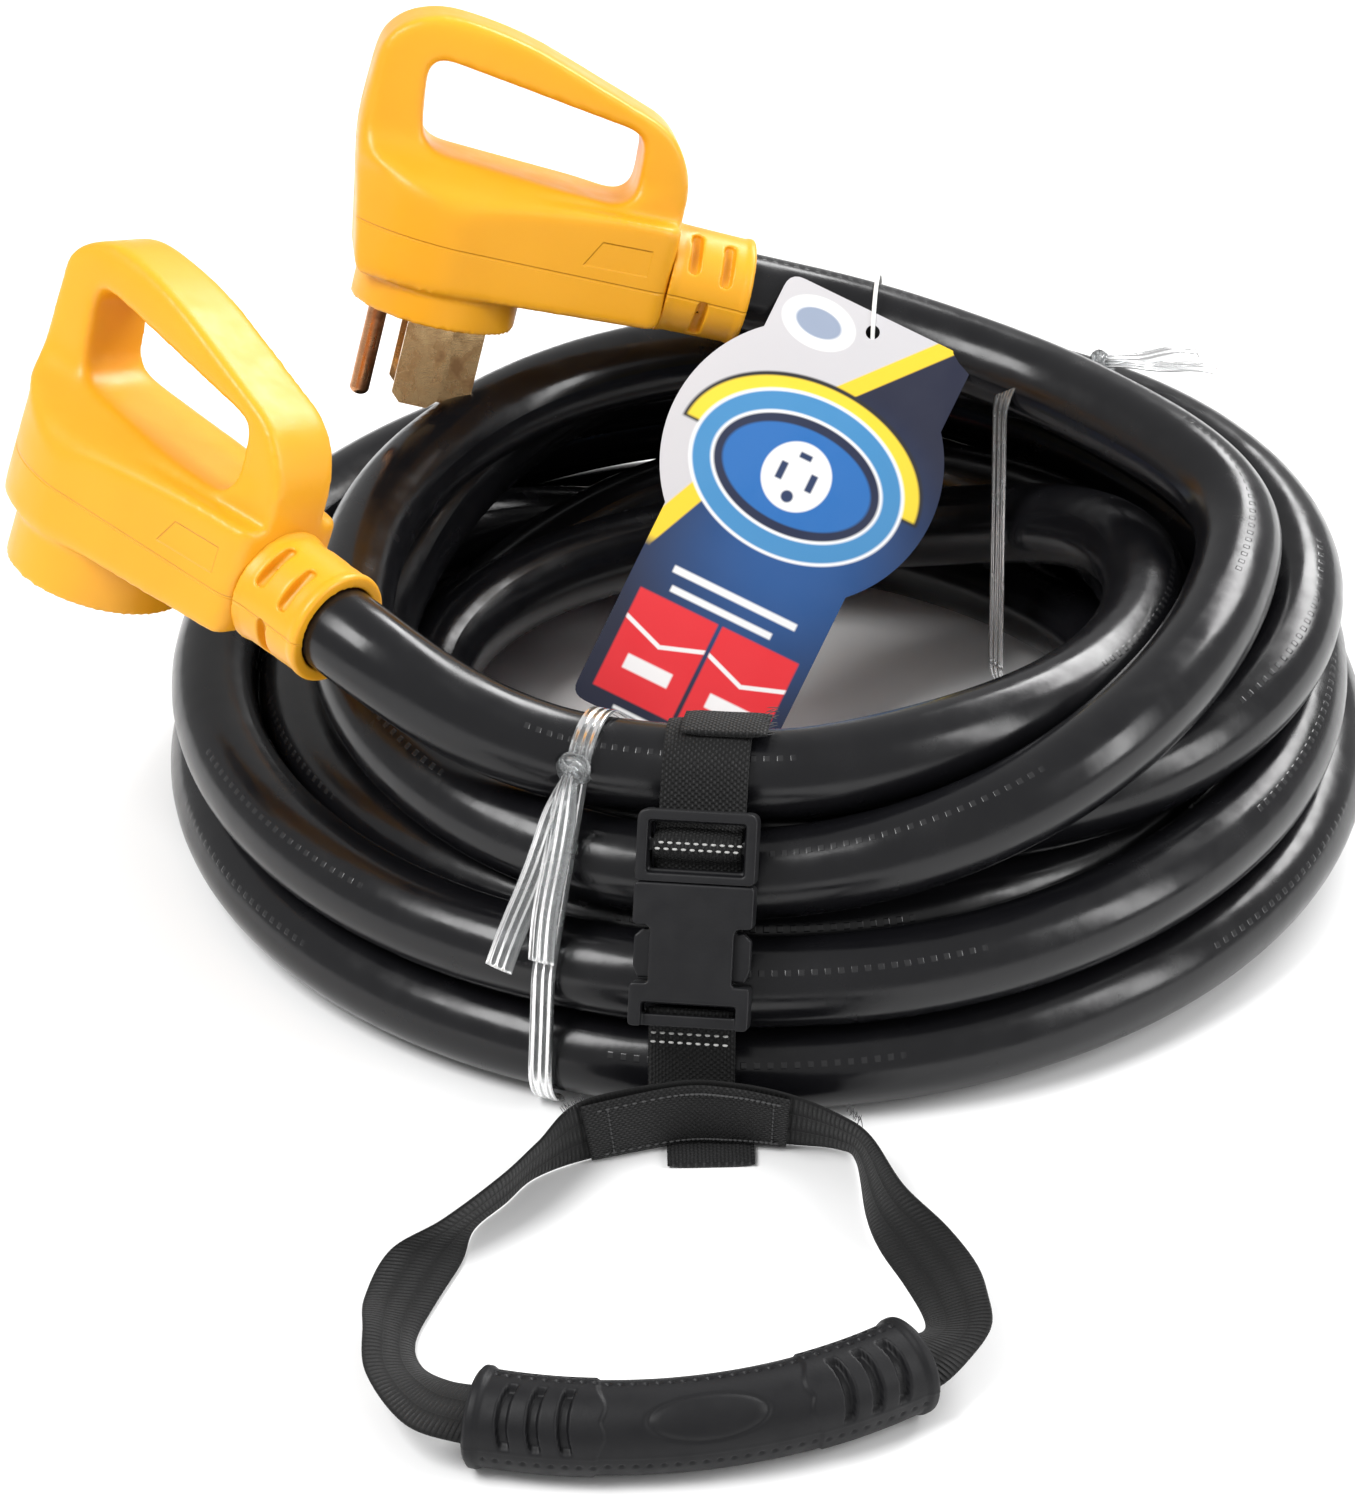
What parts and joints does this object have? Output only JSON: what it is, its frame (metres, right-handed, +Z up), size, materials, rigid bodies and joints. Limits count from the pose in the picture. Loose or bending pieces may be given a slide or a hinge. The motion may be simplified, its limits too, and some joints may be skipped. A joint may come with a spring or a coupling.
{
  "type": "shore power cord",
  "caption": "Coiled heavy power cord with a yellow plug and a yellow socket that have D-shaped pull handles, held by a buckled webbing strap with a carry loop.",
  "frame": {"origin": "on the floor, on the axis of the coil", "axes": "+Z up, -Y towards the strap, its buckle and the carry loop, +X to the right of them"},
  "size_m": [0.4064, 0.5286, 0.2345],
  "materials": {
    "black_jacket": "glossy black vinyl jacket",
    "yellow_moulding": "satin yellow overmoulded vinyl",
    "core_plastic": "dark insulating plastic",
    "brass": "tarnished rolled brass",
    "copper_pin": "brown brass bar",
    "wire_black": "black conductor insulation",
    "wire_red": "red conductor insulation",
    "wire_white": "white conductor insulation",
    "wire_green": "green conductor insulation",
    "black_webbing": "woven black polypropylene webbing",
    "buckle_plastic": "moulded black acetal",
    "grip_rubber": "moulded black rubber",
    "printed_card": "laminated printed card",
    "white_plastic": "white plastic loop",
    "clear_vinyl": "clear ribbed vinyl"
  },
  "bodies": {
    "cord_assembly": {"cord_coil": "black_jacket", "plug_lead": "black_jacket", "socket_lead": "black_jacket", "plug_body": "yellow_moulding", "plug_relief": "yellow_moulding", "plug_core": "core_plastic", "hot_blade_front": "brass", "hot_blade_rear": "brass", "neutral_blade": "brass", "ground_pin": "copper_pin", "plug_wire_black": "wire_black", "plug_wire_red": "wire_red", "plug_wire_white": "wire_white", "plug_wire_green": "wire_green", "socket_body": "yellow_moulding", "socket_relief": "yellow_moulding", "socket_core": "core_plastic", "hot_contact_front": "brass", "hot_contact_rear": "brass", "neutral_contact": "brass", "ground_contact": "brass", "socket_wire_black": "wire_black", "socket_wire_red": "wire_red", "socket_wire_white": "wire_white", "socket_wire_green": "wire_green", "strap_webbing": "black_webbing", "strap_end": "black_webbing", "strap_tail": "black_webbing", "buckle_male": "buckle_plastic", "buckle_female": "buckle_plastic", "front_tie": "clear_vinyl", "rear_tie": "clear_vinyl"},
    "buckle_arm_left": {"buckle_arm_left": "buckle_plastic"},
    "buckle_arm_right": {"buckle_arm_right": "buckle_plastic"},
    "carry_handle": {"loop_centre": "black_webbing", "loop_left": "black_webbing", "loop_right": "black_webbing", "loop_core": "black_webbing", "handle_grip": "grip_rubber"},
    "tag": {"hang_tag": "printed_card", "tag_fastener": "white_plastic"}
  },
  "joints": [
    {"name": "left_arm_squeeze", "type": "hinge", "parent": "cord_assembly", "child": "buckle_arm_left", "pos_m": [-0.0104, -0.1695, 0.07619], "axis": [0, -0.866, 0.5], "range_deg": [0, 5.5], "stiffness_Nm_per_rad": 0.6},
    {"name": "right_arm_squeeze", "type": "hinge", "parent": "cord_assembly", "child": "buckle_arm_right", "pos_m": [0.0104, -0.1695, 0.07619], "axis": [0, 0.866, -0.5], "range_deg": [0, 5.5], "stiffness_Nm_per_rad": 0.6},
    {"name": "carry_loop_lift", "type": "hinge", "parent": "cord_assembly", "child": "carry_handle", "pos_m": [0.002, -0.189, 0.0165], "axis": [-1, 0, 0], "range_deg": [0, 70]},
    {"name": "tag_swing", "type": "hinge", "parent": "cord_assembly", "child": "tag", "pos_m": [0.0293, 0.093, 0.124], "axis": [-1, 0, 0], "range_deg": [0, 15]}
  ]
}
